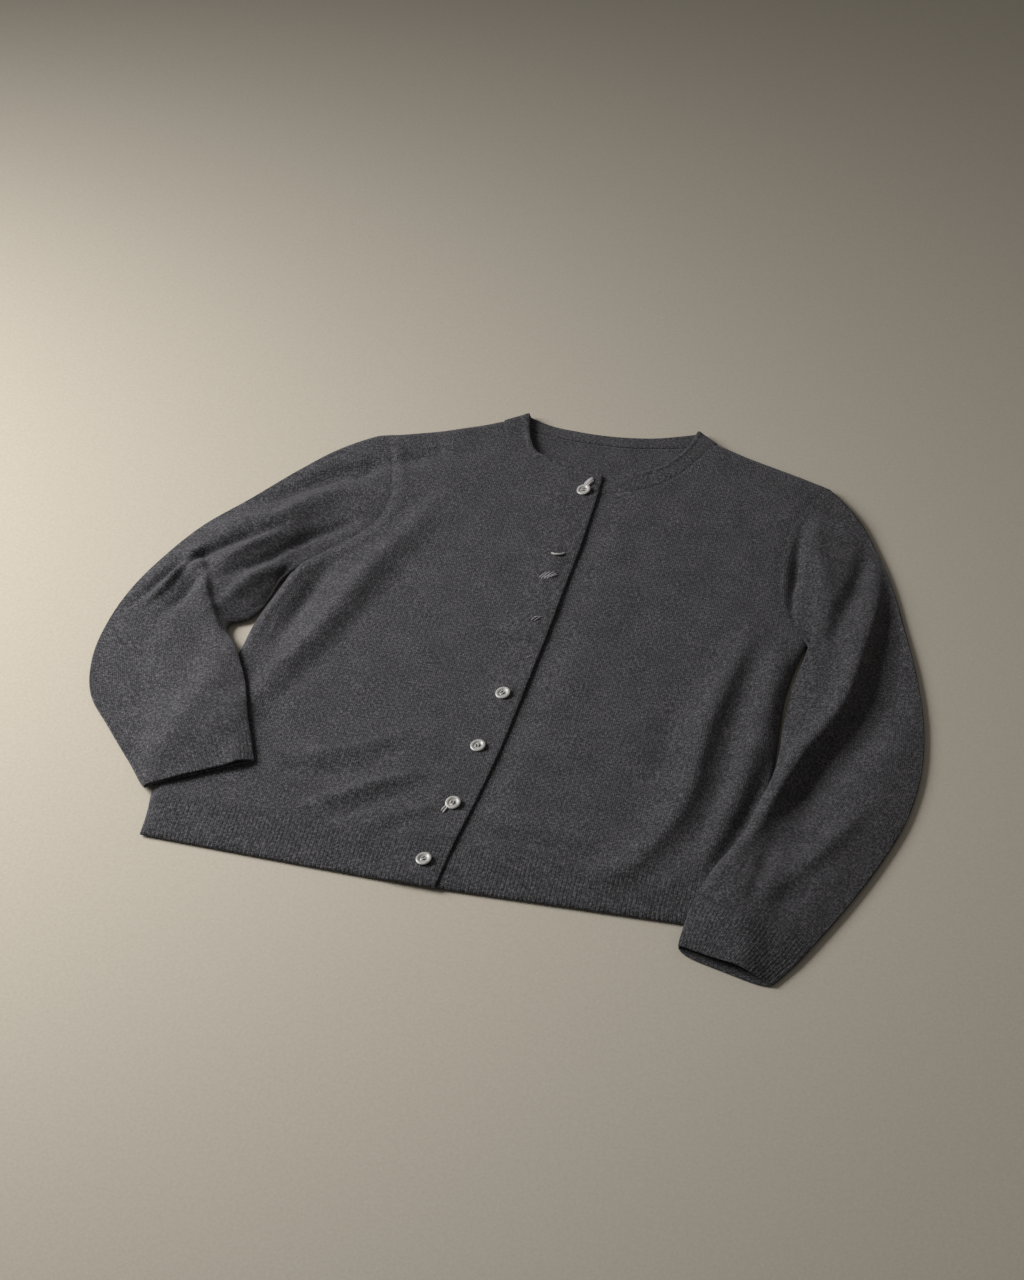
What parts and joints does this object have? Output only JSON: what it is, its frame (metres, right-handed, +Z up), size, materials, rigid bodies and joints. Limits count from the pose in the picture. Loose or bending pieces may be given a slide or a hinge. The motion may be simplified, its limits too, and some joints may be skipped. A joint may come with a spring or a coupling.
{
  "type": "button cardigan",
  "caption": "Short fine-knit button cardigan laid flat on its back: round neck, long sleeves laid down the sides, ribbed hem and cuffs.",
  "frame": {"origin": "a point of the back's underside, where it rests on the table: on the line up from the hem through the lower end of the front opening, 27 cm above the hem line", "axes": "+Z up from the table, through the back and the fronts; +Y from the hem to the neck; +X to the right of someone looking down at the fronts, towards the wearer's left"},
  "size_m": [0.6744, 0.617, 0.0256],
  "materials": {
    "plain_knit": "heathered charcoal fine wool knit, matt with a soft nap",
    "ribbing": "the same charcoal wool in a narrow rib",
    "pearl": "grey mother-of-pearl look, polished"
  },
  "bodies": {
    "root": {"back": "plain_knit", "hem_back": "ribbing", "front_right": "plain_knit", "front_left": "plain_knit", "hem_front_right": "ribbing", "hem_front_left": "ribbing", "sleeve_right": "plain_knit", "sleeve_left": "plain_knit", "cuff_right": "ribbing", "cuff_left": "ribbing", "neckband": "ribbing", "button_1": "pearl", "button_2": "pearl", "button_3": "pearl", "button_4": "pearl", "button_5": "pearl", "button_6": "pearl", "button_7": "pearl", "button_8": "pearl"}
  },
  "joints": []
}
